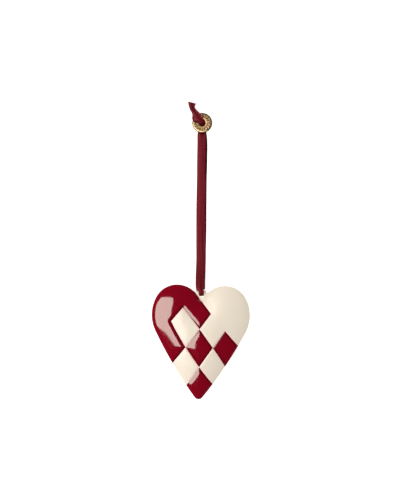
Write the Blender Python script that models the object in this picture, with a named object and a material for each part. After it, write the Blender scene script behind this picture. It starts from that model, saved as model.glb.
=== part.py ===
# Metal heart ornament: a pressed, enamelled heart with a woven pattern, a doubled ribbon and a brass ring.
# It lies on its back, as it does when loose: +X right, +Y from the heart towards the ring, +Z up, in metres.
# The origin is under the middle of the heart, on the surface that the ornament lies on.

import math

import bmesh
import bpy
import numpy as np
from mathutils import Vector
from mathutils.geometry import delaunay_2d_cdt

MM = 0.001

# Heart: its outline and its weave are drawn 66 wide, and they follow the width that is set here
HEART_WIDTH = 66.0 * MM
DRAWN_WIDTH = 66.0
UNIT = HEART_WIDTH / DRAWN_WIDTH

# Right half of the outline: arcs that run into each other, with the angle where each one ends
CROWN_CENTRE = (16.17, 22.54)
CROWN_RADIUS = 15.81
INNER_RADIUS = 20.55
INNER_END_ANGLE = 113.5
CROWN_END_ANGLE = 27.2
SHOULDER_RADIUS = 25.11
SHOULDER_END_ANGLE = -27.0
SIDE_RADIUS = 287.7
TIP_RADIUS = 3.21
TIP_END_ANGLE = -90.0

# Section: two puffed shells that meet at the outline, each with fields that swell between shallow grooves.
# The red fields stand highest on the front, the back is plainer, and it is cut flat where it rests
FRONT_RISE = 6.8 * MM
BACK_RISE = 7.8 * MM
SHELL_POWER = 1.45
SHELL_EDGE = 20.0
GROOVE_DEPTH = 0.25 * MM
GROOVE_EDGE = 0.9
RED_FIELD_RISE = 0.6 * MM
RED_FIELD_EDGE = 6.7
CREAM_FIELD_RISE = 0.3 * MM
CREAM_FIELD_EDGE = 6.0
BACK_FIELD_RISE = 0.25 * MM
BACK_FIELD_EDGE = 6.0
FIELD_POWER = 1.4
RIM_FADE = 2.5
REST_CUT = 1.35 * MM
REST_DEPTH = BACK_RISE + GROOVE_DEPTH + BACK_FIELD_RISE - REST_CUT

# Weave: where each strip's edge crosses the middle line, its slope in degrees and its slight bow
STRIPS = 3
RED_EDGES = ((28.0, 52.3, 0.0014), (8.1, 52.0, -0.0013), (-16.8, 52.0, 0.0024), (-40.2, 52.0, 0.0018))
CREAM_EDGES = ((38.0, 50.8, 0.0), (9.6, 54.5, 0.0008), (-16.4, 56.5, -0.0004), (-39.7, 51.8, 0.0016))

PAST_RIM = 0.6

# Spacing of the points that carry the heart's surface
OUTLINE_STEP = 2.6
FINE_STEP = 0.1
RIM_INSETS = (0.16, 0.6, 1.4, 2.6, 4.2, 6.4)
GROOVE_STEP = 2.4
GROOVE_OFFSETS = (0.4, 1.2, 2.6)
FIELD_STEP = 3.3
CROWDED = 0.28
SAME_PLACE = 0.005 * MM

# Lug: a flat tongue that stands in the notch, half way up, with the hole that the ribbon goes through
LUG_WIDTH = 7.2 * MM
LUG_THICKNESS = 1.2 * MM
LUG_CORNER = 1.6 * MM
LUG_ROOT = 3.5 * MM
LUG_HOLE = 3.4 * MM
HOLE_ABOVE_NOTCH = 3.6 * MM
BAND_ABOVE_HOLE = 1.6 * MM
HOLE_SIDES = 24

# Ring: a turned brass disc with rounded edges and shallow strokes round its upper face
RING_DIAMETER = 13.4 * MM
RING_HOLE = 3.8 * MM
RING_THICKNESS = 2.6 * MM
RING_ROUNDING = 0.9 * MM
RING_PLACE = (-2.87, 115.9)
RING_TILT = 6.4
STROKE_COUNT = 17
STEPS_PER_STROKE = 4
STROKE_RISE = 0.18 * MM
STROKE_SPAN = (0.39, 0.8)

# Ribbon: one length of 6 mm ribbon, doubled through the lug hole and drawn up through the ring
RIBBON_WIDTH = 6.0 * MM
RIBBON_THICKNESS = 0.3 * MM
# Its route from the lug hole to the cut ends, in mm. Columns: x, y past the hole, height, share of the width
# that shows, heading and roll of the width in degrees, half the distance between its two layers, and how far
# the lower one slips sideways
ROUTE = (
    (-0.05, 0.5, 6.95, 0.40, 0, 0, 0.0, 0.0),
    (-0.1, 1.2, 6.95, 0.42, 0, 0, 0.85, 0.0),
    (-0.2, 2.1, 6.95, 0.48, 0, 0, 1.2, 0.0),
    (-0.35, 3.2, 6.90, 0.58, 0, 0, 1.25, 0.0),
    (-0.6, 4.6, 6.60, 0.86, 0, 0, 1.3, 0.0),
    (-0.9, 6.5, 5.90, 1.00, 0, 0, 1.3, 0.1),
    (-1.15, 9.5, 4.60, 1.00, 0, 0, 1.15, 0.2),
    (-1.2, 13.5, 3.10, 1.00, 0, 0, 0.9, 0.2),
    (-1.25, 18.5, 1.75, 1.00, 0, 0, 0.6, 0.2),
    (-1.3, 24.5, 0.85, 1.00, 0, 0, 0.35, 0.1),
    (-1.45, 32.0, 0.48, 1.00, 0, 0, 0.21, 0.0),
    (-1.65, 44.0, 0.42, 1.00, 0, 0, 0.21, 0.0),
    (-2.0, 58.0, 0.42, 1.00, 0, 0, 0.21, 0.0),
    (-2.35, 78.0, 0.42, 1.00, 0, 0, 0.21, 0.0),
    (-2.7, 84.0, 0.42, 0.94, 0, 0, 0.21, 0.6),
    (-2.95, 94.0, 0.42, 0.92, 0, 0, 0.21, 0.7),
    (-3.05, 103.0, 0.42, 0.92, 0, 0, 0.21, 0.6),
    (-3.15, 108.5, 0.42, 0.88, 0, 0, 0.21, 0.4),
    (-3.0, 113.5, 0.46, 0.44, 0, 0, 0.21, 0.1),
    (-2.9, 115.2, 1.20, 0.40, 5, 0, 0.21, 0.0),
    (-2.9, 115.6, 2.20, 0.42, 12, 0, 0.21, 0.0),
    (-3.0, 116.1, 3.35, 0.46, 18, 0, 0.21, 0.0),
    (-3.9, 117.2, 4.45, 0.78, 20, 0, 0.21, 0.0),
    (-5.6, 118.9, 4.55, 0.98, 19, 2, 0.21, 0.0),
    (-7.0, 121.3, 3.90, 0.86, 20, 6, 0.21, 0.0),
    (-8.3, 123.4, 3.00, 0.62, 22, 14, 0.21, 0.0),
    (-9.6, 125.4, 2.20, 0.58, 13, 18, 0.21, 0.0),
    (-10.1, 127.4, 1.80, 0.70, -6, 10, 0.21, 0.0),
    (-10.0, 129.6, 1.60, 0.82, -13, 4, 0.21, 0.0),
)
ROUTE_STEPS = 2


def clear_scene():
    for thing in list(bpy.data.objects):
        bpy.data.objects.remove(thing, do_unlink=True)


def make_finish(name, colour, roughness, metallic):
    finish = bpy.data.materials.new(name)
    finish.use_nodes = True
    shader = finish.node_tree.nodes["Principled BSDF"]
    shader.inputs["Base Color"].default_value = (*colour, 1.0)
    shader.inputs["Roughness"].default_value = roughness
    shader.inputs["Metallic"].default_value = metallic
    finish.diffuse_color = (*colour, 1.0)
    return finish


def add_object(name, shape, *finishes):
    """Turns a bmesh into an object with smooth faces that stay sharp at real edges."""
    mesh = bpy.data.meshes.new(name)
    shape.to_mesh(mesh)
    shape.free()
    for finish in finishes:
        mesh.materials.append(finish)
    mesh.shade_smooth()
    mesh.set_sharp_from_angle(angle=math.radians(40))
    thing = bpy.data.objects.new(name, mesh)
    bpy.context.collection.objects.link(thing)
    return thing


def add_boolean(thing, name, operation, other):
    other.hide_render = True
    other.display_type = "WIRE"
    change = thing.modifiers.new(name, "BOOLEAN")
    change.operation = operation
    change.object = other


def direction(degrees):
    return np.array([math.cos(math.radians(degrees)), math.sin(math.radians(degrees))])


def outline_arcs():
    """The right half from the notch to the tip: each arc's centre, radius, first and last angle."""
    crown = np.array(CROWN_CENTRE)
    inner = crown + (CROWN_RADIUS - INNER_RADIUS) * direction(INNER_END_ANGLE)
    shoulder = crown + (CROWN_RADIUS - SHOULDER_RADIUS) * direction(CROWN_END_ANGLE)
    side = shoulder + (SHOULDER_RADIUS - SIDE_RADIUS) * direction(SHOULDER_END_ANGLE)
    tip = np.array([0.0, side[1] - math.sqrt((SIDE_RADIUS - TIP_RADIUS) ** 2 - side[0] ** 2)])
    side_end = math.degrees(math.atan2(tip[1] - side[1], -side[0]))
    notch = math.degrees(math.acos(-inner[0] / INNER_RADIUS))
    return [
        (inner, INNER_RADIUS, notch, INNER_END_ANGLE),
        (crown, CROWN_RADIUS, INNER_END_ANGLE, CROWN_END_ANGLE),
        (shoulder, SHOULDER_RADIUS, CROWN_END_ANGLE, SHOULDER_END_ANGLE),
        (side, SIDE_RADIUS, SHOULDER_END_ANGLE, side_end),
        (tip, TIP_RADIUS, side_end, TIP_END_ANGLE),
    ]


def notch_height():
    """Where the two lobes meet on the middle line, in drawn units."""
    centre, radius, notch, _ = outline_arcs()[0]
    return centre[1] + radius * direction(notch)[1]


def heart_outline(step):
    """Points round the whole outline, clockwise from the notch, and the way out at each of them."""
    points = []
    outward = []
    for centre, radius, first, last in outline_arcs():
        count = max(3, round(radius * math.radians(first - last) / step))
        for n in range(count):
            out = direction(first + (last - first) * n / count)
            points.append(centre + radius * out)
            outward.append(out)
    tip, radius = outline_arcs()[-1][:2]
    points.append(tip + radius * direction(TIP_END_ANGLE))
    outward.append(direction(TIP_END_ANGLE))
    right = np.array(points)
    right_out = np.array(outward)
    right[[0, -1], 0] = 0.0
    flip = np.array([-1.0, 1.0])
    left = right[-2:0:-1] * flip
    left_out = right_out[-2:0:-1] * flip
    return np.vstack([right, left]), np.vstack([right_out, left_out])


def edge_frame(edge, side):
    """A strip edge's way along and way across: side +1 runs down to the right, -1 down to the left."""
    mirror = np.array([side, 1.0])
    return direction(-edge[1]) * mirror, direction(90.0 - edge[1]) * mirror


def edge_point(edge, side, along):
    run, across = edge_frame(edge, side)
    return np.array([0.0, edge[0]]) + along * run + edge[2] * along * along * across


def edges_cross(red_edge, cream_edge):
    """How far along the red strip's edge, and along the cream one, the two cross."""
    along = np.zeros(2)
    nudge = 0.01
    for _ in range(10):
        red = edge_point(red_edge, 1, along[0])
        cream = edge_point(cream_edge, -1, along[1])
        by_red = (edge_point(red_edge, 1, along[0] + nudge) - red) / nudge
        by_cream = (edge_point(cream_edge, -1, along[1] + nudge) - cream) / nudge
        along = along - np.linalg.solve(np.column_stack([by_red, -by_cream]), red - cream)
    return along


def is_red_cell(column, row):
    """Column -1 is the red lobe on the left, and row -1 the cream lobe on the right."""
    if column < 0:
        return True
    if row < 0:
        return False
    return (column + row) % 2 == 0


def is_red_at(point):
    """Whether a point lies on red enamel, from the last strip edges that it lies below."""
    column = -1
    row = -1
    for line in range(STRIPS):
        if is_below(point, RED_EDGES[line], 1):
            row = line
        if is_below(point, CREAM_EDGES[line], -1):
            column = line
    if column < 0 and row < 0:
        return point[0] < 0.0
    return is_red_cell(column, row)


def is_below(point, edge, side):
    run, across = edge_frame(edge, side)
    offset = point - np.array([0.0, edge[0]])
    return offset @ across < edge[2] * (offset @ run) ** 2


def weave_borders():
    """Every stretch of a strip edge with red on one side and cream on the other: edge, side, start, end."""
    borders = []
    for line in range(STRIPS):
        for cell in range(STRIPS):
            reach = PAST_RIM if cell == STRIPS - 1 else 0.0
            if is_red_cell(line - 1, cell) != is_red_cell(line, cell):
                edge = CREAM_EDGES[line]
                start = edges_cross(RED_EDGES[cell], edge)[1]
                end = edges_cross(RED_EDGES[cell + 1], edge)[1] + reach
                borders.append((edge, -1, start, end))
            if is_red_cell(cell, line - 1) != is_red_cell(cell, line):
                edge = RED_EDGES[line]
                start = edges_cross(edge, CREAM_EDGES[cell])[0]
                if line == 0:
                    start = max(start, 0.0)
                end = edges_cross(edge, CREAM_EDGES[cell + 1])[0] + reach
                borders.append((edge, 1, start, end))
    return borders


def border_points(border, offset):
    """Points along a border, all moved sideways by the offset."""
    edge, side, start, end = border
    count = math.ceil((end - start) / GROOVE_STEP)
    across = edge_frame(edge, side)[1]
    return [edge_point(edge, side, start + (end - start) * n / count) + offset * across
            for n in range(count + 1)]


def distance_to(points, starts, ends):
    """The least distance from each point to a set of straight pieces."""
    nearest = np.full(len(points), DRAWN_WIDTH)
    for start, end in zip(starts, ends):
        run = end - start
        share = np.clip((points - start) @ run / (run @ run), 0.0, 1.0)
        nearest = np.minimum(nearest, np.linalg.norm(points - start - share[:, None] * run, axis=1))
    return nearest


def are_inside(points, outline):
    """Which points lie inside the outline, by how often a ray to the right crosses it."""
    ahead = np.roll(outline, -1, axis=0)
    spans = (outline[:, 1] > points[:, 1:2]) != (ahead[:, 1] > points[:, 1:2])
    slope = (ahead[:, 0] - outline[:, 0]) / (ahead[:, 1] - outline[:, 1] + 1e-12)
    crossing = outline[:, 0] + (points[:, 1:2] - outline[:, 1]) * slope
    return (spans & (crossing > points[:, 0:1])).sum(axis=1) % 2 == 1


def drop_crowded(points):
    """Leaves out each point that lies too near an earlier one."""
    kept = []
    for point in points:
        if not kept or np.abs(np.array(kept) - point).sum(axis=1).min() > CROWDED:
            kept.append(point)
    return kept


def heart_plan(borders):
    """The heart from above, in drawn units: its points and its triangles, which follow the borders."""
    outline, outward = heart_outline(OUTLINE_STEP)
    ahead = np.roll(outline, -1, axis=0)
    grooves = [border_points(border, 0.0) for border in borders]
    groove_starts = [p for line in grooves for p in line[:-1]]
    groove_ends = [p for line in grooves for p in line[1:]]

    rim = []
    for inset in RIM_INSETS:
        ring = outline - inset * outward
        deep = distance_to(ring, outline, ahead) > 0.9 * inset
        rim.extend(ring[deep & are_inside(ring, outline)])
    sides = []
    for offset in GROOVE_OFFSETS:
        line = np.array([p for b in borders for s in (-1, 1) for p in border_points(b, s * offset)])
        clear = distance_to(line, groove_starts, groove_ends) > 0.9 * offset
        deep = distance_to(line, outline, ahead) > RIM_INSETS[0]
        sides.extend(line[clear & deep & are_inside(line, outline)])
    across = np.arange(-DRAWN_WIDTH / 2, DRAWN_WIDTH / 2, FIELD_STEP)
    up = np.arange(-DRAWN_WIDTH * 0.6, DRAWN_WIDTH * 0.6, FIELD_STEP * math.sqrt(0.75))
    field = np.array([(x + n % 2 * FIELD_STEP / 2, y) for n, y in enumerate(up) for x in across])
    deep = distance_to(field, outline, ahead) > RIM_INSETS[-1] + FIELD_STEP / 2
    clear = distance_to(field, groove_starts, groove_ends) > GROOVE_OFFSETS[-1] + FIELD_STEP / 3
    field = field[deep & clear & are_inside(field, outline)]

    points = list(outline)
    lines = [(n, (n + 1) % len(outline)) for n in range(len(outline))]
    for groove in grooves:
        lines.extend((len(points) + n, len(points) + n + 1) for n in range(len(groove) - 1))
        points.extend(groove)
    points.extend(drop_crowded(rim + sides + list(field)))
    all_triangles = 0
    same_point = 0.02
    plan = delaunay_2d_cdt([Vector(p) for p in points], lines, [], all_triangles, same_point)
    plan_points = np.array([tuple(v) for v in plan[0]])
    middles = np.array([plan_points[face].mean(axis=0) for face in plan[2]])
    faces = [face for face, inside in zip(plan[2], are_inside(middles, outline)) if inside]
    return plan_points, faces, groove_starts, groove_ends


def soft_depth(points):
    """Depth inside the outline, from the pull of the whole rim, so that it has no ridge half way across."""
    outline, _ = heart_outline(FINE_STEP)
    ahead = np.roll(outline, -1, axis=0)
    middles = (outline + ahead) / 2.0
    lengths = np.linalg.norm(ahead - outline, axis=1)
    reach = np.linalg.norm(points[:, None, :] - middles[None, :, :], axis=2)
    soft = np.sqrt(2.0 / (lengths / np.maximum(reach, FINE_STEP) ** 3).sum(axis=1))
    true = distance_to(points, outline, ahead)
    return np.where(true < FINE_STEP, true, soft)


def puffed(depth, rise):
    """How far a shell stands off the middle plane, upright at the rim and level deep inside."""
    share = np.clip(depth / SHELL_EDGE, 0.0, 1.0)
    return rise * (1.0 - (1.0 - share) ** SHELL_POWER) ** (1.0 / SHELL_POWER)


def swollen(distance, rise, edge):
    """A field's height at a distance from its groove: a rounded corner, and then a slow swell."""
    corner = np.clip(distance / GROOVE_EDGE, 0.0, 1.0)
    share = np.clip(distance / edge, 0.0, 1.0)
    return GROOVE_DEPTH * np.sqrt(1.0 - (1.0 - corner) ** 2) + rise * (1.0 - (1.0 - share) ** FIELD_POWER)


def heart_heights(points, groove_starts, groove_ends):
    """How far the front and the back stand off the middle plane at each point."""
    depth = soft_depth(points)
    groove = distance_to(points, groove_starts, groove_ends)
    red = np.array([is_red_at(p) for p in points])
    red_field = swollen(groove, RED_FIELD_RISE, RED_FIELD_EDGE)
    cream_field = swollen(groove, CREAM_FIELD_RISE, CREAM_FIELD_EDGE)
    back_field = swollen(groove, BACK_FIELD_RISE, BACK_FIELD_EDGE)
    fade = np.clip(depth / RIM_FADE, 0.0, 1.0)
    front = puffed(depth, FRONT_RISE) + fade * np.where(red, red_field, cream_field)
    back = np.minimum(puffed(depth, BACK_RISE) + fade * back_field, REST_DEPTH)
    return front, back


def make_heart(red, cream):
    """Two shells with the same weave, joined along the outline, and flat where the back rests."""
    plan, faces, groove_starts, groove_ends = heart_plan(weave_borders())
    front, back = heart_heights(plan, groove_starts, groove_ends)
    corners = sorted({n for face in faces for n in face})
    shape = bmesh.new()
    for side, heights in ((1, front), (-1, back)):
        shell = {n: shape.verts.new((*plan[n] * UNIT, REST_DEPTH + side * heights[n])) for n in corners}
        for face in faces:
            made = shape.faces.new([shell[n] for n in face])
            made.material_index = 0 if is_red_at(plan[face].mean(axis=0)) else 1
    for edge in shape.edges:
        if edge.is_boundary:
            for corner in edge.verts:
                corner.co.z = REST_DEPTH
    bmesh.ops.remove_doubles(shape, verts=shape.verts, dist=SAME_PLACE)
    bmesh.ops.recalc_face_normals(shape, faces=shape.faces)
    return add_object("heart", shape, red, cream)


def hole_centre():
    return notch_height() * UNIT + HOLE_ABOVE_NOTCH


def make_lug(cream):
    """The tongue with rounded upper corners, rooted inside the heart, and its round hole."""
    top = hole_centre() + LUG_HOLE / 2 + BAND_ABOVE_HOLE
    root = notch_height() * UNIT - LUG_ROOT
    corner = LUG_WIDTH / 2 - LUG_CORNER
    corner_steps = 6
    outline = [(-LUG_WIDTH / 2, root), (LUG_WIDTH / 2, root)]
    for side, first in ((1, 0.0), (-1, 90.0)):
        for n in range(corner_steps + 1):
            turn = direction(first + 90.0 * n / corner_steps)
            outline.append((side * corner + LUG_CORNER * turn[0], top - LUG_CORNER + LUG_CORNER * turn[1]))
    shape = bmesh.new()
    bottom = [shape.verts.new((x, y, REST_DEPTH - LUG_THICKNESS / 2)) for x, y in outline]
    base = shape.faces.new(bottom)
    rise = bmesh.ops.extrude_face_region(shape, geom=[base])["geom"]
    lifted = [v for v in rise if isinstance(v, bmesh.types.BMVert)]
    bmesh.ops.translate(shape, verts=lifted, vec=(0.0, 0.0, LUG_THICKNESS))
    bmesh.ops.recalc_face_normals(shape, faces=shape.faces)
    for face in shape.faces:
        face.material_index = 1
    lug = add_object("lug_blank", shape, cream, cream)

    drill_shape = bmesh.new()
    bmesh.ops.create_cone(drill_shape, cap_ends=True, segments=HOLE_SIDES, radius1=LUG_HOLE / 2,
                          radius2=LUG_HOLE / 2, depth=4 * LUG_THICKNESS)
    for face in drill_shape.faces:
        face.material_index = 1
    drill = add_object("lug_drill", drill_shape, cream, cream)
    drill.location = (0.0, hole_centre(), REST_DEPTH)
    add_boolean(lug, "hole", "DIFFERENCE", drill)
    return lug


def ring_section():
    """The ring's section from the inner lower corner round: radius, height and whether a stroke lifts it."""
    inner = RING_HOLE / 2
    outer = RING_DIAMETER / 2
    corner_steps = 3
    section = []
    corners = (
        (inner + RING_ROUNDING, RING_ROUNDING, 180.0),
        (outer - RING_ROUNDING, RING_ROUNDING, 270.0),
        (outer - RING_ROUNDING, RING_THICKNESS - RING_ROUNDING, 0.0),
        (inner + RING_ROUNDING, RING_THICKNESS - RING_ROUNDING, 90.0),
    )
    for number, (radius, height, first) in enumerate(corners):
        for n in range(corner_steps + 1):
            turn = direction(first + 90.0 * n / corner_steps)
            section.append((radius + RING_ROUNDING * turn[0], height + RING_ROUNDING * turn[1], False))
        if number == 2:
            for share in reversed(STROKE_SPAN):
                section.append((inner + share * (outer - inner), RING_THICKNESS, True))
    return section


def make_ring(brass):
    section = ring_section()
    steps = STROKE_COUNT * STEPS_PER_STROKE
    shape = bmesh.new()
    rows = []
    for step in range(steps):
        turn = direction(360.0 * step / steps)
        lift = 0.0 if step % STEPS_PER_STROKE == 0 else STROKE_RISE
        row = []
        for radius, height, stroke in section:
            top = height + lift if stroke else height
            row.append(shape.verts.new((radius * turn[0], radius * turn[1], top)))
        rows.append(row)
    for step in range(steps):
        here = rows[step]
        there = rows[(step + 1) % steps]
        for n in range(len(section)):
            m = (n + 1) % len(section)
            shape.faces.new((here[n], there[n], there[m], here[m]))
    bmesh.ops.recalc_face_normals(shape, faces=shape.faces)
    ring = add_object("ring", shape, brass)
    tilt = math.radians(RING_TILT)
    ring.rotation_euler = (-tilt, 0.0, 0.0)
    lift = math.sin(tilt) * (RING_DIAMETER / 2 - RING_ROUNDING) + RING_ROUNDING * (1.0 - math.cos(tilt))
    ring.location = (RING_PLACE[0] * MM, hole_centre() + RING_PLACE[1] * MM, lift)
    return ring


def smooth_rows(rows, steps):
    """More rows on a smooth curve through the given ones."""
    rows = np.array(rows, dtype=float)
    before = np.vstack([2 * rows[0] - rows[1], rows[:-1]])
    after = np.vstack([rows[1:], 2 * rows[-1] - rows[-2]])
    slope = (after - before) / 2.0
    result = []
    for n in range(len(rows) - 1):
        for step in range(steps):
            t = step / steps
            result.append((2 * t**3 - 3 * t**2 + 1) * rows[n] + (t**3 - 2 * t**2 + t) * slope[n]
                          + (3 * t**2 - 2 * t**3) * rows[n + 1] + (t**3 - t**2) * slope[n + 1])
    result.append(rows[-1])
    return np.array(result)


def layer_stations(layer):
    """Centres, width directions and widths of one layer of the doubled ribbon: +1 is the upper one."""
    rows = smooth_rows(ROUTE, ROUTE_STEPS)
    middle = rows[:, :3] * MM
    middle[:, 1] += hole_centre()
    run = np.gradient(middle, axis=0)
    heading = np.radians(rows[:, 4])
    roll = np.radians(rows[:, 5])
    wide = np.column_stack([np.cos(heading) * np.cos(roll), np.sin(heading) * np.cos(roll), np.sin(roll)])
    off = np.cross(wide, run)
    off /= np.linalg.norm(off, axis=1)[:, None]
    centres = middle + layer * off * rows[:, 6:7] * MM
    if layer < 0:
        centres = centres + wide * rows[:, 7:8] * MM
    return centres, wide, rows[:, 3] * RIBBON_WIDTH


def make_ribbon(cloth):
    """The lower layer from its cut end to the lug hole, and the upper one back: one flat swept solid."""
    lower = layer_stations(-1)
    upper = layer_stations(1)
    centres = np.vstack([lower[0][:0:-1], upper[0]])
    wide = np.vstack([lower[1][:0:-1], upper[1]])
    widths = np.concatenate([lower[2][:0:-1], upper[2]])
    run = np.gradient(centres, axis=0)
    run /= np.linalg.norm(run, axis=1)[:, None]
    across = wide - (wide * run).sum(axis=1)[:, None] * run
    across /= np.linalg.norm(across, axis=1)[:, None]
    off = np.cross(across, run)
    shape = bmesh.new()
    rows = []
    for centre, side, up, width in zip(centres, across, off, widths):
        corners = [(-1, -1), (1, -1), (1, 1), (-1, 1)]
        rows.append([shape.verts.new(centre + a * side * width / 2 + b * up * RIBBON_THICKNESS / 2)
                     for a, b in corners])
    for here, there in zip(rows[:-1], rows[1:]):
        for n in range(4):
            m = (n + 1) % 4
            shape.faces.new((here[n], here[m], there[m], there[n]))
    shape.faces.new(rows[0])
    shape.faces.new(rows[-1])
    bmesh.ops.recalc_face_normals(shape, faces=shape.faces)
    return add_object("ribbon", shape, cloth)


def main():
    clear_scene()
    red = make_finish("red_enamel", (0.205, 0.002, 0.012), 0.12, 0.0)
    cream = make_finish("cream_enamel", (0.80, 0.71, 0.56), 0.16, 0.0)
    cloth = make_finish("satin_ribbon", (0.17, 0.012, 0.022), 0.6, 0.0)
    brass = make_finish("brass", (0.62, 0.41, 0.17), 0.28, 1.0)
    heart = make_heart(red, cream)
    add_boolean(heart, "lug", "UNION", make_lug(cream))
    make_ring(brass)
    make_ribbon(cloth)


main()
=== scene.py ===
# %% [markdown]
# # A metal heart ornament
# The ornament is a puffed heart of pressed steel sheet, enamelled in dark red and cream like a woven paper
# heart. A 6 mm satin ribbon goes through the hole in its lug and is drawn up through a small brass ring.
# Every piece is made here in metres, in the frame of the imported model, which is loaded first.

# %% Load the frame
import math

import bpy
import numpy as np
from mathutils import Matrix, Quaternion, Vector
from mathutils.geometry import delaunay_2d_cdt


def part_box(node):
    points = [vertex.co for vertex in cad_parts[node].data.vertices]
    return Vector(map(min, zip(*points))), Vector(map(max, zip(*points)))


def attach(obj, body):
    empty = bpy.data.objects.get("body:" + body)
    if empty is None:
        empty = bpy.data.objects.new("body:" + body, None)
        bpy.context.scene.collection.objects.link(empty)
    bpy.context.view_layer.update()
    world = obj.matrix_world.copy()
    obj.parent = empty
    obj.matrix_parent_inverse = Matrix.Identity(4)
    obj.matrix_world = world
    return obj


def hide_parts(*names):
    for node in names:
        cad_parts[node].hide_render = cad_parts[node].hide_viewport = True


MM = 0.001
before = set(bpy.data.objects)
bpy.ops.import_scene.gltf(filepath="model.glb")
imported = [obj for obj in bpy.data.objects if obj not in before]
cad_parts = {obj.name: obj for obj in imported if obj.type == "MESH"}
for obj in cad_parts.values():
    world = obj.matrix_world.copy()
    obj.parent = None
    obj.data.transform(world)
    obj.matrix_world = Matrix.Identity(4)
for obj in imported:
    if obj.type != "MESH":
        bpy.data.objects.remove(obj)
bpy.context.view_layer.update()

# %% [markdown]
# ## The camera
# The photograph looks straight down on the ornament through a long lens, so the camera does too. The ornament
# lay turned by a degree or two in the picture, and the camera is rolled by that much instead.

# %% Camera above the ornament
VIEW_MIDDLE = (-1.84 * MM, 62.0 * MM)
VIEW_TALL = 336.4 * MM
VIEW_PLANE = 7.0 * MM
VIEW_ROLL = 1.68
LENS = 200.0
SENSOR = 36.0


def add_camera():
    distance = VIEW_TALL * LENS / SENSOR
    bpy.ops.object.camera_add(location=(*VIEW_MIDDLE, VIEW_PLANE + distance))
    camera = bpy.context.object
    camera.rotation_euler = (0.0, 0.0, math.radians(VIEW_ROLL))
    camera.data.lens = LENS
    camera.data.sensor_width = SENSOR
    camera.data.clip_start = 0.05
    camera.data.clip_end = 20.0
    bpy.context.scene.camera = camera
    return distance


print("camera distance:", round(add_camera(), 3), "m")

# %% [markdown]
# ## Small helpers
# An operator acts on all that is selected, so everything is deselected before each step. Colours are written
# as the hex values of a colour picker, which are sRGB, and the shader wants them linear.

# %% Helpers for selecting, colours and nodes


def deselect_all():
    if bpy.context.object and bpy.context.object.mode != "OBJECT":
        bpy.ops.object.mode_set(mode="OBJECT")
    bpy.ops.object.select_all(action="DESELECT")


def select_only(*things):
    deselect_all()
    for thing in things:
        thing.select_set(True)
    bpy.context.view_layer.objects.active = things[0]


def linear(hex_colour):
    """An sRGB hex colour as the linear red, green, blue and alpha that a shader takes."""
    parts = [int(hex_colour[n:n + 2], 16) / 255 for n in (1, 3, 5)]
    return (*[p / 12.92 if p <= 0.04045 else ((p + 0.055) / 1.055) ** 2.4 for p in parts], 1.0)


def add_node(owner, kind, inputs, **settings):
    """Adds one node. Each input is a value or the output of another node, and settings are its properties."""
    tree = owner.node_tree
    node = tree.nodes.new(kind)
    for name, value in settings.items():
        setattr(node, name, value)
    for name, value in inputs.items():
        if isinstance(value, bpy.types.NodeSocket):
            tree.links.new(value, node.inputs[name])
        else:
            node.inputs[name].default_value = value
    return node


def new_material(name):
    """An empty node material, and its shader."""
    material = bpy.data.materials.new(name)
    material.use_nodes = True
    return material, material.node_tree.nodes["Principled BSDF"]


def mesh_object(name, points, faces):
    mesh = bpy.data.meshes.new(name)
    mesh.from_pydata([tuple(p) for p in points], [], [tuple(f) for f in faces])
    thing = bpy.data.objects.new(name, mesh)
    bpy.context.collection.objects.link(thing)
    return thing


def coordinates(thing):
    points = np.zeros(len(thing.data.vertices) * 3)
    thing.data.vertices.foreach_get("co", points)
    return points.reshape(-1, 3)


def write_attribute(thing, name, values):
    attribute = thing.data.attributes.new(name, "FLOAT", "POINT")
    attribute.data.foreach_set("value", np.asarray(values, dtype=np.float32))


# %% [markdown]
# ## The ribbon's route
# The ribbon is one length of 6 mm satin ribbon. It is doubled: it goes through the lug hole, and both halves
# run up together, lie down on the surface, pass under the brass ring and come up through it to their cut ends.
# A ribbon is flat, so each station of the route has a middle, a direction for its width, and how much of the
# width shows where it is gathered. The route repeats the one that the solid model was made with.

# %% Route of the doubled ribbon
RIBBON_WIDTH = 6.0 * MM
RIBBON_THICKNESS = 0.26 * MM
HOLE_Y = 31.6 * MM
MIDDLE_Z = 6.95 * MM
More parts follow.
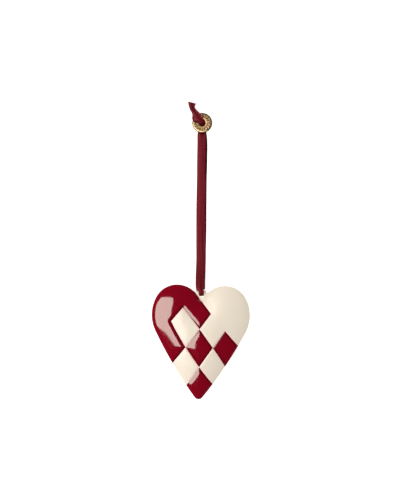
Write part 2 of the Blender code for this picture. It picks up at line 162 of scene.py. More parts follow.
# Columns: x, y past the hole, height, share of the width, heading and roll in degrees, half the distance
# between the layers, slip of the lower layer, and how deep the cloth is gathered into folds. In mm
ROUTE = (
    (0.05, -0.3, 6.95, 0.48, 0, 0, 0.0, 0.0, 0.10),
    (-0.05, 0.8, 6.95, 0.52, 0, 0, 0.85, 0.0, 0.14),
    (-0.15, 2.1, 6.95, 0.56, 0, 0, 1.2, 0.0, 0.20),
    (-0.3, 3.1, 6.90, 0.60, 0, 0, 1.25, 0.0, 0.28),
    (-0.75, 4.15, 6.65, 0.94, 0, 0, 1.3, 0.1, 0.22),
    (-0.95, 6.5, 5.90, 1.00, 0, 0, 1.3, 0.2, 0.10),
    (-1.05, 9.5, 4.60, 1.00, 0, 0, 1.15, 0.2, 0.05),
    (-1.1, 13.5, 3.10, 1.00, 0, 0, 0.9, 0.3, 0.0),
    (-1.05, 18.5, 1.75, 1.00, 0, 0, 0.6, 0.2, 0.0),
    (-1.05, 24.5, 0.85, 1.00, 0, 0, 0.35, 0.2, 0.0),
    (-1.3, 32.0, 0.48, 1.00, 0, 0, 0.21, 0.3, 0.0),
    (-1.65, 44.0, 0.42, 1.00, 0, 0, 0.21, 0.6, 0.0),
    (-2.0, 58.0, 0.42, 1.00, 0, 0, 0.21, 0.6, 0.0),
    (-2.2, 78.0, 0.42, 1.00, 0, 0, 0.21, 0.4, 0.0),
    (-2.5, 84.0, 0.42, 0.94, 0, 0, 0.21, 0.9, 0.0),
    (-2.75, 94.0, 0.42, 0.92, 0, 0, 0.21, 1.1, 0.0),
    (-2.85, 103.0, 0.42, 0.92, 0, 0, 0.21, 1.0, 0.0),
    (-3.05, 108.5, 0.42, 0.88, 0, 0, 0.21, 0.6, 0.10),
    (-3.0, 113.5, 0.46, 0.60, 0, 0, 0.21, 0.1, 0.25),
    (-2.9, 115.3, 1.20, 0.55, 5, 0, 0.21, 0.0, 0.45),
    (-2.95, 116.3, 2.20, 0.62, 12, 0, 0.21, 0.2, 0.50),
    (-3.35, 117.0, 3.35, 0.65, 18, 0, 0.21, -0.1, 0.42),
    (-4.5, 118.0, 4.45, 0.80, 20, 0, 0.21, -0.5, 0.24),
    (-6.0, 119.3, 4.55, 0.97, 19, 2, 0.21, -0.7, 0.12),
    (-7.05, 121.3, 3.90, 0.86, 20, 6, 0.21, -0.2, 0.25),
    (-8.3, 123.4, 3.00, 0.62, 22, 14, 0.21, 0.0, 0.55),
    (-9.6, 125.4, 2.20, 0.58, 13, 18, 0.21, 0.0, 0.55),
    (-10.1, 127.5, 1.80, 0.70, -8, 10, 0.21, 0.0, 0.35),
    (-10.15, 129.7, 1.60, 0.88, -14, 4, 0.21, 0.0, 0.10),
)
STEPS_BETWEEN = 8
LAYERS_TOGETHER = 0.21


def smooth_rows(rows, steps):
    """More rows on a smooth curve through the given ones."""
    rows = np.array(rows, dtype=float)
    before = np.vstack([2 * rows[0] - rows[1], rows[:-1]])
    after = np.vstack([rows[1:], 2 * rows[-1] - rows[-2]])
    slope = (after - before) / 2
    result = []
    for n in range(len(rows) - 1):
        for step in range(steps):
            t = step / steps
            result.append((2 * t**3 - 3 * t**2 + 1) * rows[n] + (t**3 - 2 * t**2 + t) * slope[n]
                          + (3 * t**2 - 2 * t**3) * rows[n + 1] + (t**3 - t**2) * slope[n + 1])
    result.append(rows[-1])
    return np.array(result)


def layer_stations(layer):
    """Middles, width directions, widths, gathers and fold sides of one layer: +1 is the upper one."""
    rows = smooth_rows(ROUTE, STEPS_BETWEEN)
    middle = rows[:, :3] * MM
    middle[:, 1] += HOLE_Y
    run = np.gradient(middle, axis=0)
    heading = np.radians(rows[:, 4])
    roll = np.radians(rows[:, 5])
    wide = np.column_stack([np.cos(heading) * np.cos(roll), np.sin(heading) * np.cos(roll), np.sin(roll)])
    off = np.cross(wide, run)
    off /= np.linalg.norm(off, axis=1)[:, None]
    middle = middle + layer * off * rows[:, 6:7] * MM
    if layer < 0:
        middle = middle + wide * rows[:, 7:8] * MM
    apart = np.clip((rows[:, 6] - LAYERS_TOGETHER) / LAYERS_TOGETHER, 0.0, 1.0)
    fold_side = 1 - apart * (1 - layer)
    return middle, wide, rows[:, 3] * RIBBON_WIDTH, rows[:, 8] * MM, fold_side


def path_length(points):
    return float(np.linalg.norm(np.diff(points, axis=0), axis=1).sum())


LAYERS = {"ribbon_upper": layer_stations(1), "ribbon_lower": layer_stations(-1)}
for name, stations in LAYERS.items():
    print(name, round(path_length(stations[0]) * 1000, 1), "mm long")

# %% [markdown]
# ## The ribbon's cloth
# The cloth is swept along its stations. Its section is a thin strip, arched a little as a ribbon that has
# been wound on a reel is, with a thicker selvedge at each edge, and it gathers into soft folds where the lug
# hole and the ring pinch it. Both layers have their folds in the same places, so they nest.

# %% Sweep the two layers
POINTS_ACROSS = 25
FOLD_PITCH = 1.25
FOLD_CREST = -0.25
ARCH = 0.22 * MM
SELVEDGE_SHARE = 0.1
SELVEDGE_SWELL = 0.3
CUT_SLANT = 14.0
SLANTED_LENGTH = 2.0 * MM
# How far the painted shadow of the ring reaches down the ribbon.
RING_SHADOW_LENGTH = 2.0 * MM


def ribbon_section(width, gather, fold_side):
    """The closed outline of one section: places across and off the ribbon's plane."""
    share = np.linspace(-1, 1, POINTS_ACROSS)
    arch = ARCH * (1 - share**2) * min(1.0, width / RIBBON_WIDTH)
    folds = gather * (1 + np.cos(math.pi * FOLD_PITCH * (share - FOLD_CREST)))
    line = np.column_stack([share * width / 2, (arch + folds) * fold_side])
    along = np.gradient(line, axis=0)
    along /= np.linalg.norm(along, axis=1)[:, None]
    normal = np.column_stack([-along[:, 1], along[:, 0]])
    swell = 1 + SELVEDGE_SWELL * np.clip(1 - (1 - np.abs(share)) / SELVEDGE_SHARE, 0, 1)
    half = RIBBON_THICKNESS / 2 * swell[:, None]
    tip = RIBBON_THICKNESS / 2
    first = line[0] - along[0] * tip
    last = line[-1] + along[-1] * tip
    return np.vstack([first[None], line + normal * half, last[None], (line - normal * half)[::-1]])


def sweep_ribbon(name, middles, wide, widths, gathers, fold_sides):
    """One layer as a closed strip, its length and width kept as a UV map, its reverse in the second slot."""
    run = np.gradient(middles, axis=0)
    run /= np.linalg.norm(run, axis=1)[:, None]
    across = wide - (wide * run).sum(axis=1)[:, None] * run
    across /= np.linalg.norm(across, axis=1)[:, None]
    off = np.cross(across, run)
    distance = np.concatenate([[0.0], np.cumsum(np.linalg.norm(np.diff(middles, axis=0), axis=1))])
    slants = np.clip(1.0 - (distance[-1] - distance) / SLANTED_LENGTH, 0.0, 1.0) * math.tan(math.radians(CUT_SLANT))
    sections = [ribbon_section(*values) for values in zip(widths, gathers, fold_sides)]
    rows = [m + s[:, :1] * (a - slant * r) + s[:, 1:] * o
            for m, a, o, r, s, slant in zip(middles, across, off, run, sections, slants)]
    round_count = len(rows[0])
    faces = []
    for n in range(len(rows) - 1):
        for k in range(round_count):
            m = (k + 1) % round_count
            faces.append((n * round_count + k, n * round_count + m,
                          (n + 1) * round_count + m, (n + 1) * round_count + k))
    faces.append(tuple(range(round_count))[::-1])
    faces.append(tuple((len(rows) - 1) * round_count + k for k in range(round_count)))
    ribbon = mesh_object(name, np.vstack(rows), faces)
    place = np.concatenate([[-1], np.linspace(-1, 1, POINTS_ACROSS), [1], np.linspace(1, -1, POINTS_ACROSS)])
    uv = ribbon.data.uv_layers.new(name="cloth")
    for loop in ribbon.data.loops:
        station, k = divmod(loop.vertex_index, round_count)
        uv.data[loop.index].uv = (place[k] * RIBBON_WIDTH / 2, distance[station])
    # Painted shadow of the ring: how strongly the cloth just below the ring is darkened.
    below_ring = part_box("ring")[0].y - coordinates(ribbon)[:, 1]
    write_attribute(ribbon, "ring_shadow", np.clip(1.0 - below_ring / RING_SHADOW_LENGTH, 0.0, 1.0) * (below_ring > -RING_SHADOW_LENGTH))
    # The lower layer shows its reverse, whose darker colour is partly the dull back, partly painted shade.
    for face in ribbon.data.polygons:
        is_top = face.index % round_count <= POINTS_ACROSS
        face.material_index = 0 if is_top == (name == "ribbon_upper") else 1
    select_only(ribbon)
    bpy.ops.object.mode_set(mode="EDIT")
    bpy.ops.mesh.select_all(action="SELECT")
    bpy.ops.mesh.normals_make_consistent(inside=False)
    bpy.ops.object.mode_set(mode="OBJECT")
    bpy.ops.object.shade_smooth_by_angle(angle=math.radians(50))
    return ribbon


cords = {name: sweep_ribbon(name, *stations) for name, stations in LAYERS.items()}
for name, ribbon in cords.items():
    print(name, len(ribbon.data.polygons), "faces")

# %% [markdown]
# ## Enamel
# Vitreous or baked enamel is a glassy coat, with an IOR of about 1.5. It was poured thick and has levelled, so
# it mirrors the lamps with soft, slightly wavy edges. The red is painted darker along each groove: painted shade
# where the pads fall steeply. The cream beside a border is painted pink: partly red enamel run over into it,
# partly a painted reflection of the red next to it.

# %% Enamel materials
RED_HEX = "#7D0017"
# Painted shade: the red turns to this darker colour near each groove, where the pads fall steeply.
RED_GROOVE_SHADE_HEX = "#5A000E"
CREAM_HEX = "#E6DAC7"
# Pink on the cream beside a border: partly red enamel run over into it, partly a painted reflection of the red.
CREAM_BLEED_AND_REFLECTION_HEX = "#F6CEC6"


def add_enamel(name, field_hex, border_hex, border_width, softness, least_rough, gloss_level):
    """Enamel whose colour changes to the border colour within a given distance of a groove, in mm."""
    material, shader = new_material(name)
    place = add_node(material, "ShaderNodeTexCoord", {})
    distance = add_node(material, "ShaderNodeAttribute", {}, attribute_name="groove_distance")
    near = add_node(material, "ShaderNodeMapRange", {
        "Value": distance.outputs["Fac"], "From Min": border_width, "From Max": border_width + softness,
        "To Min": 1.0, "To Max": 0.0}, interpolation_type="SMOOTHSTEP")
    colour = add_node(material, "ShaderNodeMix", {
        "Factor": near.outputs["Result"], "A": linear(field_hex), "B": linear(border_hex)}, data_type="RGBA")
    cloud = add_node(material, "ShaderNodeTexNoise", {
        "Vector": place.outputs["Object"], "Scale": 120.0, "Detail": 2.0})
    tone = add_node(material, "ShaderNodeMapRange", {
        "Value": cloud.outputs["Fac"], "To Min": 0.97, "To Max": 1.03})
    toned = add_node(material, "ShaderNodeHueSaturation", {
        "Value": tone.outputs["Result"], "Color": colour.outputs["Result"]})
    tree = material.node_tree
    tree.links.new(toned.outputs["Color"], shader.inputs["Base Color"])
    smear = add_node(material, "ShaderNodeTexNoise", {
        "Vector": place.outputs["Object"], "Scale": 300.0, "Detail": 3.0})
    gloss = add_node(material, "ShaderNodeMapRange", {
        "Value": smear.outputs["Fac"], "To Min": least_rough, "To Max": least_rough + 0.07})
    tree.links.new(gloss.outputs["Result"], shader.inputs["Roughness"])
    peel = add_node(material, "ShaderNodeTexNoise", {
        "Vector": place.outputs["Object"], "Scale": 350.0, "Detail": 1.0})
    bump = add_node(material, "ShaderNodeBump", {
        "Strength": 0.12, "Distance": 0.05 * MM, "Height": peel.outputs["Fac"]})
    tree.links.new(bump.outputs["Normal"], shader.inputs["Normal"])
    shader.inputs["IOR"].default_value = 1.5
    shader.inputs["Specular IOR Level"].default_value = gloss_level
    return material


# The red's border colour is painted shade; the cream's is partly run-over red, partly a painted reflection of the
# red.
red_enamel = add_enamel("red_baked_enamel", RED_HEX, RED_GROOVE_SHADE_HEX, 0.4, 1.6, 0.05, 0.5)
cream_enamel = add_enamel("cream_baked_enamel", CREAM_HEX, CREAM_BLEED_AND_REFLECTION_HEX, 0.5, 0.4, 0.25, 0.22)
lug_enamel = add_enamel("lug_cream_enamel", CREAM_HEX, CREAM_HEX, 0.0, 0.1, 0.25, 0.22)

# %% [markdown]
# ## The heart's outline and weave
# The outline is the same on both halves: five arcs from the notch to the tip. The weave has three strips each
# way. Their edges cross at slightly different slopes and bow a little, as they do on the pressed original.

# %% Outline from arcs
CROWN_CENTRE = (16.17, 22.54)
CROWN_RADIUS = 15.81
INNER_RADIUS = 20.55
INNER_END_ANGLE = 113.5
CROWN_END_ANGLE = 27.2
SHOULDER_RADIUS = 25.11
SHOULDER_END_ANGLE = -27.0
SIDE_RADIUS = 287.7
TIP_RADIUS = 3.21


def direction(degrees):
    return np.array([math.cos(math.radians(degrees)), math.sin(math.radians(degrees))])


def outline_arcs():
    """The right half from the notch to the tip: each arc's centre, radius, first and last angle."""
    crown = np.array(CROWN_CENTRE)
    inner = crown + (CROWN_RADIUS - INNER_RADIUS) * direction(INNER_END_ANGLE)
    shoulder = crown + (CROWN_RADIUS - SHOULDER_RADIUS) * direction(CROWN_END_ANGLE)
    side = shoulder + (SHOULDER_RADIUS - SIDE_RADIUS) * direction(SHOULDER_END_ANGLE)
    tip = np.array([0.0, side[1] - math.sqrt((SIDE_RADIUS - TIP_RADIUS) ** 2 - side[0] ** 2)])
    side_end = math.degrees(math.atan2(tip[1] - side[1], -side[0]))
    notch = math.degrees(math.acos(-inner[0] / INNER_RADIUS))
    return [(inner, INNER_RADIUS, notch, INNER_END_ANGLE), (crown, CROWN_RADIUS, INNER_END_ANGLE, CROWN_END_ANGLE),
            (shoulder, SHOULDER_RADIUS, CROWN_END_ANGLE, SHOULDER_END_ANGLE), (side, SIDE_RADIUS, SHOULDER_END_ANGLE, side_end),
            (tip, TIP_RADIUS, side_end, -90.0)]


def heart_outline(step):
    """Points round the outline, clockwise from the notch, and the way out at each of them."""
    points = []
    outward = []
    for centre, radius, first, last in outline_arcs():
        count = max(3, round(radius * math.radians(first - last) / step))
        for n in range(count):
            out = direction(first + (last - first) * n / count)
            points.append(centre + radius * out)
            outward.append(out)
    tip, radius = outline_arcs()[-1][:2]
    points.append(tip + radius * direction(-90.0))
    outward.append(direction(-90.0))
    right = np.array(points)
    right[[0, -1], 0] = 0.0
    right_out = np.array(outward)
    flip = np.array([-1.0, 1.0])
    return np.vstack([right, right[-2:0:-1] * flip]), np.vstack([right_out, right_out[-2:0:-1] * flip])


# %% Borders of the weave
STRIPS = 3
RED_EDGES = ((28.0, 52.3, 0.0014), (8.1, 52.0, -0.0013), (-16.8, 52.0, 0.0024), (-40.2, 52.0, 0.0018))
CREAM_EDGES = ((38.0, 50.8, 0.0), (9.6, 54.5, 0.0008), (-16.4, 56.5, -0.0004), (-39.7, 51.8, 0.0016))
PAST_RIM = 0.6
GROOVE_STEP = 2.4


def edge_frame(edge, side):
    """A strip edge's way along and way across: side +1 runs down to the right, -1 down to the left."""
    mirror = np.array([side, 1.0])
    return direction(-edge[1]) * mirror, direction(90.0 - edge[1]) * mirror


def edge_point(edge, side, along):
    run, across = edge_frame(edge, side)
    return np.array([0.0, edge[0]]) + along * run + edge[2] * along * along * across


def edges_cross(red_edge, cream_edge):
    """How far along the red strip's edge, and along the cream one, the two cross."""
    along = np.zeros(2)
    nudge = 0.01
    for _ in range(10):
        red = edge_point(red_edge, 1, along[0])
        cream = edge_point(cream_edge, -1, along[1])
        by_red = (edge_point(red_edge, 1, along[0] + nudge) - red) / nudge
        by_cream = (edge_point(cream_edge, -1, along[1] + nudge) - cream) / nudge
        along = along - np.linalg.solve(np.column_stack([by_red, -by_cream]), red - cream)
    return along


def is_red_cell(column, row):
    """Column -1 is the red lobe on the left, and row -1 the cream lobe on the right."""
    if column < 0:
        return True
    if row < 0:
        return False
    return (column + row) % 2 == 0


def is_below(points, edge, side):
    run, across = edge_frame(edge, side)
    offset = points - np.array([0.0, edge[0]])
    return offset @ across < edge[2] * (offset @ run) ** 2


def are_red(points):
    """Which points lie on red enamel, from the last strip edges that they lie below."""
    rows = np.full(len(points), -1)
    columns = np.full(len(points), -1)
    for line in range(STRIPS):
        rows[is_below(points, RED_EDGES[line], 1)] = line
        columns[is_below(points, CREAM_EDGES[line], -1)] = line
    lobes = (rows < 0) & (columns < 0)
    cells = np.array([is_red_cell(c, r) for c, r in zip(columns, rows)])
    return np.where(lobes, points[:, 0] < 0, cells)


def weave_borders():
    """Every stretch of a strip edge with red on one side and cream on the other: edge, side, start, end."""
    borders = []
    for line in range(STRIPS):
        for cell in range(STRIPS):
            reach = PAST_RIM if cell == STRIPS - 1 else 0.0
            if is_red_cell(line - 1, cell) != is_red_cell(line, cell):
                edge = CREAM_EDGES[line]
                start = edges_cross(RED_EDGES[cell], edge)[1]
                borders.append((edge, -1, start, edges_cross(RED_EDGES[cell + 1], edge)[1] + reach))
            if is_red_cell(cell, line - 1) != is_red_cell(cell, line):
                edge = RED_EDGES[line]
                start = edges_cross(edge, CREAM_EDGES[cell])[0]
                if line == 0:
                    start = max(start, 0.0)
                borders.append((edge, 1, start, edges_cross(edge, CREAM_EDGES[cell + 1])[0] + reach))
    return borders


def border_points(border, offset):
    """Points along a border, all moved sideways by the offset."""
    edge, side, start, end = border
    count = math.ceil((end - start) / GROOVE_STEP)
    across = edge_frame(edge, side)[1]
    return [edge_point(edge, side, start + (end - start) * n / count) + offset * across
            for n in range(count + 1)]


BORDERS = weave_borders()
GROOVES = [border_points(border, 0.0) for border in BORDERS]
GROOVE_STARTS = [p for line in GROOVES for p in line[:-1]]
GROOVE_ENDS = [p for line in GROOVES for p in line[1:]]
print("borders between red and cream:", len(BORDERS))

# %% [markdown]
# ## The heart's plan
# Gloss shows every facet, and a groove has to run along the border between two enamels. So the skin starts as
# a flat plan whose triangles follow the outline and every border, and it is then subdivided in edit mode.

# %% Plan that follows the borders
OUTLINE_STEP = 1.3
RIM_INSETS = (0.16, 0.6, 1.4, 2.6, 4.2, 6.4)
GROOVE_OFFSETS = (0.4, 1.2, 2.6)
FIELD_STEP = 3.3
CROWDED = 0.28
HEART_WIDTH = 66.0


def distance_to(points, starts, ends):
    """The least distance from each point to a set of straight pieces."""
    nearest = np.full(len(points), HEART_WIDTH)
    for start, end in zip(starts, ends):
        run = end - start
        share = np.clip((points - start) @ run / (run @ run), 0.0, 1.0)
        gap = points - start - share[:, None] * run
        nearest = np.minimum(nearest, np.hypot(gap[:, 0], gap[:, 1]))
    return nearest


def are_inside(points, outline):
    """Which points lie inside the outline, by how often a ray to the right crosses it."""
    ahead = np.roll(outline, -1, axis=0)
    spans = (outline[:, 1] > points[:, 1:2]) != (ahead[:, 1] > points[:, 1:2])
    slope = (ahead[:, 0] - outline[:, 0]) / (ahead[:, 1] - outline[:, 1] + 1e-12)
    crossing = outline[:, 0] + (points[:, 1:2] - outline[:, 1]) * slope
    return (spans & (crossing > points[:, 0:1])).sum(axis=1) % 2 == 1


def drop_crowded(points):
    """Leaves out each point that lies too near an earlier one."""
    kept = np.zeros((0, 2))
    for point in points:
        if not len(kept) or np.abs(kept - point).sum(axis=1).min() > CROWDED:
            kept = np.vstack([kept, point])
    return list(kept)


def heart_plan():
    """The heart from above in mm: its points and its triangles."""
    outline, outward = heart_outline(OUTLINE_STEP)
    ahead = np.roll(outline, -1, axis=0)
    inner = []
    for inset in RIM_INSETS:
        ring = outline - inset * outward
        deep = distance_to(ring, outline, ahead) > 0.9 * inset
        inner.extend(ring[deep & are_inside(ring, outline)])
    for offset in GROOVE_OFFSETS:
        line = np.array([p for b in BORDERS for s in (-1, 1) for p in border_points(b, s * offset)])
        clear = distance_to(line, GROOVE_STARTS, GROOVE_ENDS) > 0.9 * offset
        deep = distance_to(line, outline, ahead) > RIM_INSETS[0]
        inner.extend(line[clear & deep & are_inside(line, outline)])
    across = np.arange(-HEART_WIDTH / 2, HEART_WIDTH / 2, FIELD_STEP)
    up = np.arange(-HEART_WIDTH * 0.6, HEART_WIDTH * 0.6, FIELD_STEP * math.sqrt(0.75))
    field = np.array([(x + n % 2 * FIELD_STEP / 2, y) for n, y in enumerate(up) for x in across])
    deep = distance_to(field, outline, ahead) > RIM_INSETS[-1] + FIELD_STEP / 2
    clear = distance_to(field, GROOVE_STARTS, GROOVE_ENDS) > GROOVE_OFFSETS[-1] + FIELD_STEP / 3
    inner.extend(field[deep & clear & are_inside(field, outline)])

    points = list(outline)
    lines = [(n, (n + 1) % len(outline)) for n in range(len(outline))]
    for groove in GROOVES:
        lines.extend((len(points) + n, len(points) + n + 1) for n in range(len(groove) - 1))
        points.extend(groove)
    points.extend(drop_crowded(inner))
    all_triangles = 0
    same_point = 0.02
    plan = delaunay_2d_cdt([Vector(p) for p in points], lines, [], all_triangles, same_point)
    plan_points = np.array([tuple(v) for v in plan[0]])
    middles = np.array([plan_points[face].mean(axis=0) for face in plan[2]])
    faces = [face for face, inside in zip(plan[2], are_inside(middles, outline)) if inside]
    return plan_points, faces


plan_points, plan_faces = heart_plan()
print("plan triangles:", len(plan_faces))

# %% [markdown]
# ## The heart's skin
# Both shells rise steeply from the rim and flatten towards the middle. The red fields stand proud as filled
# pads between shallow grooves, the cream ones lie lower, and the back is plainer and flat where it rests.

# %% Heights of both shells
FRONT_RISE = 6.7
BACK_RISE = 7.8
SHELL_POWER = 1.45
SHELL_EDGE = 20.0
GROOVE_DEPTH = 0.2
GROOVE_EDGE = 0.9
POURED_DEPTHS = (0.66, 0.36)
THINNER_X = (-6.0, 10.0)
POURED_EDGE = 2.9
RED_FIELD = (0.48, 6.25)
CREAM_FIELD = (0.3, 6.0)
BACK_FIELD = (0.25, 6.0)
FIELD_POWER = 1.2
RIM_FADE = 2.5
REST_DEPTH = MIDDLE_Z / MM
FINE_STEP = 0.1
CHUNK = 1500
SUBDIVISIONS = 3
SAME_PLACE = 0.004 * MM
RIM_HEIGHT = 0.02


def soft_depth(points):
    """Depth inside the outline, from the pull of the whole rim, so that it has no ridge half way across."""
    outline, _ = heart_outline(FINE_STEP)
    ahead = np.roll(outline, -1, axis=0)
    middles = (outline + ahead) / 2
    lengths = np.linalg.norm(ahead - outline, axis=1)
    soft = []
    for n in range(0, len(points), CHUNK):
        gap = points[n:n + CHUNK, None, :] - middles[None, :, :]
        reach = np.maximum(np.hypot(gap[:, :, 0], gap[:, :, 1]), FINE_STEP)
        soft.append(np.sqrt(2.0 / (lengths / reach**3).sum(axis=1)))
    soft = np.concatenate(soft)
    coarse, _ = heart_outline(1.0)
    true = distance_to(points, coarse, np.roll(coarse, -1, axis=0))
    return np.where(true < FINE_STEP, true, soft)


def puffed(depth, rise):
    """How far a shell stands off the middle plane, upright at the rim and level deep inside."""
    share = np.clip(depth / SHELL_EDGE, 0.0, 1.0)
    return rise * (1.0 - (1.0 - share) ** SHELL_POWER) ** (1.0 / SHELL_POWER)


def swollen(distance, field):
    """How much a field swells at a distance from its groove."""
    rise, edge = field
    return rise * (1.0 - (1.0 - np.clip(distance / edge, 0.0, 1.0)) ** FIELD_POWER)


def poured_corner(distance, x):
    """The full, rounded corner of enamel that was poured thick, and a little thinner towards the right."""
    share = np.clip(distance / POURED_EDGE, 0.0, 1.0)
    return np.interp(x, THINNER_X, POURED_DEPTHS) * (1.0 - (1.0 - share) ** 2)


def soft_corner(distance):
    """The soft corner of thin enamel, which leaves the groove level and has no wall."""
    share = np.clip(distance / GROOVE_EDGE, 0.0, 1.0)
    return GROOVE_DEPTH * share * share * (3.0 - 2.0 * share)


def heart_heights(points, red):
    """How far the front and the back stand off the middle plane, and the distance to the nearest groove."""
    depth = soft_depth(points)
    groove = distance_to(points, GROOVE_STARTS, GROOVE_ENDS)
    fade = np.clip(depth / RIM_FADE, 0.0, 1.0)
    red_field = poured_corner(groove, points[:, 0]) + swollen(groove, RED_FIELD)
    cream_field = soft_corner(groove) + swollen(groove, CREAM_FIELD)
    back_field = soft_corner(groove) + swollen(groove, BACK_FIELD)
    front = puffed(depth, FRONT_RISE) + fade * np.where(red, red_field, cream_field)
    back = np.minimum(puffed(depth, BACK_RISE) + fade * back_field, REST_DEPTH)
    return front, back, groove


# %% Build the skin
def flat_shell(name, outward_side):
    """The plan as a flat mesh, red faces in the first material slot and cream in the second, subdivided."""
    faces = [f if outward_side > 0 else f[::-1] for f in plan_faces]
    shell = mesh_object(name, [(x * MM, y * MM, 0.0) for x, y in plan_points], faces)
    shell.data.materials.append(red_enamel)
    shell.data.materials.append(cream_enamel)
    middles = np.array([plan_points[list(f)].mean(axis=0) for f in faces])
    red = are_red(middles)
    for face, is_red in zip(shell.data.polygons, red):
        face.material_index = 0 if is_red else 1
    select_only(shell)
    bpy.ops.object.mode_set(mode="EDIT")
    bpy.ops.mesh.select_all(action="SELECT")
    bpy.ops.mesh.delete_loose()
    bpy.ops.mesh.select_all(action="SELECT")
    bpy.ops.mesh.subdivide(number_cuts=SUBDIVISIONS)
    bpy.ops.object.mode_set(mode="OBJECT")
    return shell


def boundary_vertices(thing):
    """The vertices on an open edge of a mesh."""
    edge_use = {}
    for face in thing.data.polygons:
        for key in face.edge_keys:
            edge_use[key] = edge_use.get(key, 0) + 1
    return sorted({n for key, count in edge_use.items() if count == 1 for n in key})


def make_skin():
    shells = []
    for side in (1, -1):
        shell = flat_shell("heart_front" if side > 0 else "heart_back", side)
        points = coordinates(shell)
        plan = points[:, :2] / MM
        front, back, groove = heart_heights(plan, are_red(plan))
        heights = (front if side > 0 else -back)
        heights[boundary_vertices(shell)] = 0.0
        heights[np.abs(heights) < RIM_HEIGHT] = 0.0
        points[:, 2] = (REST_DEPTH + heights) * MM
        shell.data.vertices.foreach_set("co", points.ravel())
        write_attribute(shell, "groove_distance", groove)
        shells.append(shell)
    select_only(*shells)
    bpy.ops.object.join()
    skin = bpy.context.object
    bpy.ops.object.mode_set(mode="EDIT")
    bpy.ops.mesh.select_all(action="SELECT")
    bpy.ops.mesh.remove_doubles(threshold=SAME_PLACE)
    bpy.ops.mesh.normals_make_consistent(inside=False)
    bpy.ops.object.mode_set(mode="OBJECT")
    bpy.ops.object.shade_smooth()
    skin.name = "heart_skin"
    return skin


skin = make_skin()
print("heart skin:", len(skin.data.polygons), "faces, open edges at", len(boundary_vertices(skin)), "vertices")

# %% [markdown]
# ## The lug
# The lug is a flat tongue of the same sheet, enamelled cream, that stands in the notch. It is a bar with
# its upper corners rounded, a drilled hole, and softened edges where the enamel has run round them.

# %% Lug with its hole
LUG_WIDTH = 7.2 * MM
LUG_THICKNESS = 1.2 * MM
LUG_CORNER = 1.6 * MM
LUG_FOOT = 24.5 * MM
LUG_TOP = 34.9 * MM
LUG_HOLE = 3.4 * MM
LUG_SOFTNESS = 0.28 * MM


def make_lug():
    deselect_all()
    middle = (0.0, (LUG_FOOT + LUG_TOP) / 2, MIDDLE_Z)
    bpy.ops.mesh.primitive_cube_add(size=1.0, location=middle, scale=(LUG_WIDTH, LUG_TOP - LUG_FOOT, LUG_THICKNESS))
    lug = bpy.context.object
    lug.name = "heart_lug"
    bpy.ops.object.transform_apply(location=True, rotation=True, scale=True)
    bpy.ops.object.mode_set(mode="EDIT")
    bpy.ops.mesh.select_all(action="DESELECT")
    bpy.ops.object.mode_set(mode="OBJECT")
    for edge in lug.data.edges:
        ends = [lug.data.vertices[n].co for n in edge.vertices]
        edge.select = all(end.y > LUG_TOP - MM for end in ends) and abs(ends[0].z - ends[1].z) > LUG_THICKNESS / 2
    bpy.ops.object.mode_set(mode="EDIT")
    bpy.ops.mesh.select_mode(type="EDGE")
    bpy.ops.mesh.bevel(offset=LUG_CORNER, segments=8)
    bpy.ops.object.mode_set(mode="OBJECT")

    deselect_all()
    bpy.ops.mesh.primitive_cylinder_add(vertices=64, radius=LUG_HOLE / 2, depth=4 * LUG_THICKNESS,
                                        location=(0.0, HOLE_Y, MIDDLE_Z))
    drill = bpy.context.object
    select_only(lug)
    cut = lug.modifiers.new("hole", "BOOLEAN")
    cut.operation = "DIFFERENCE"
    cut.object = drill
    bpy.ops.object.modifier_apply(modifier=cut.name)
    bpy.data.objects.remove(drill)
    lug.data.materials.append(lug_enamel)
    soften = lug.modifiers.new("soft_edges", "BEVEL")
    soften.width = LUG_SOFTNESS
    soften.segments = 4
    soften.limit_method = "ANGLE"
    soften.angle_limit = math.radians(40)
    bpy.ops.object.modifier_apply(modifier=soften.name)
    bpy.ops.object.shade_smooth_by_angle(angle=math.radians(35))
    return lug


lug = make_lug()
print("lug faces:", len(lug.data.polygons))

# %% [markdown]
# ## The brass ring
# The ring is a small turned and struck brass disc. A section is spun round the middle, and then a row of
# short strokes is raised in the channel between its plain inner band and its rim.

# %% Spin and strike the ring
RING_OUTER = 6.7 * MM
RING_INNER = 1.9 * MM
RING_THICKNESS = 2.6 * MM
RING_ROUNDING = 0.9 * MM
RING_TILT = 6.4
CHANNEL = (3.6 * MM, 5.85 * MM)
CHANNEL_DEPTH = 0.26 * MM
CHANNEL_WALL = 0.15 * MM
STROKE_COUNT = 17
STEPS_PER_STROKE = 10
STROKE_STEPS = (2, 8)
STROKE_TOP = 0.26 * MM
ROUNDING_STEPS = 6


def ring_profile():
    """The section from the inner lower corner round: radius and height."""
    low = RING_ROUNDING
    high = RING_THICKNESS - RING_ROUNDING
    corners = ((RING_INNER + low, low, 180), (RING_OUTER - low, low, 270),
               (RING_OUTER - low, high, 0), (RING_INNER + low, high, 90))
    points = []
    for number, (radius, height, first) in enumerate(corners):
        for n in range(ROUNDING_STEPS + 1):
            turn = direction(first + 90 * n / ROUNDING_STEPS)
            points.append((radius + low * turn[0], height + low * turn[1]))
        if number == 2:
            floor = RING_THICKNESS - CHANNEL_DEPTH
            outer = CHANNEL[1] - CHANNEL_WALL
            inner = CHANNEL[0] + CHANNEL_WALL
            points.append((CHANNEL[1], RING_THICKNESS))
            points.extend((outer + (inner - outer) * share, floor) for share in (0.0, 0.12, 0.88, 1.0))
            points.append((CHANNEL[0], RING_THICKNESS))
    return points


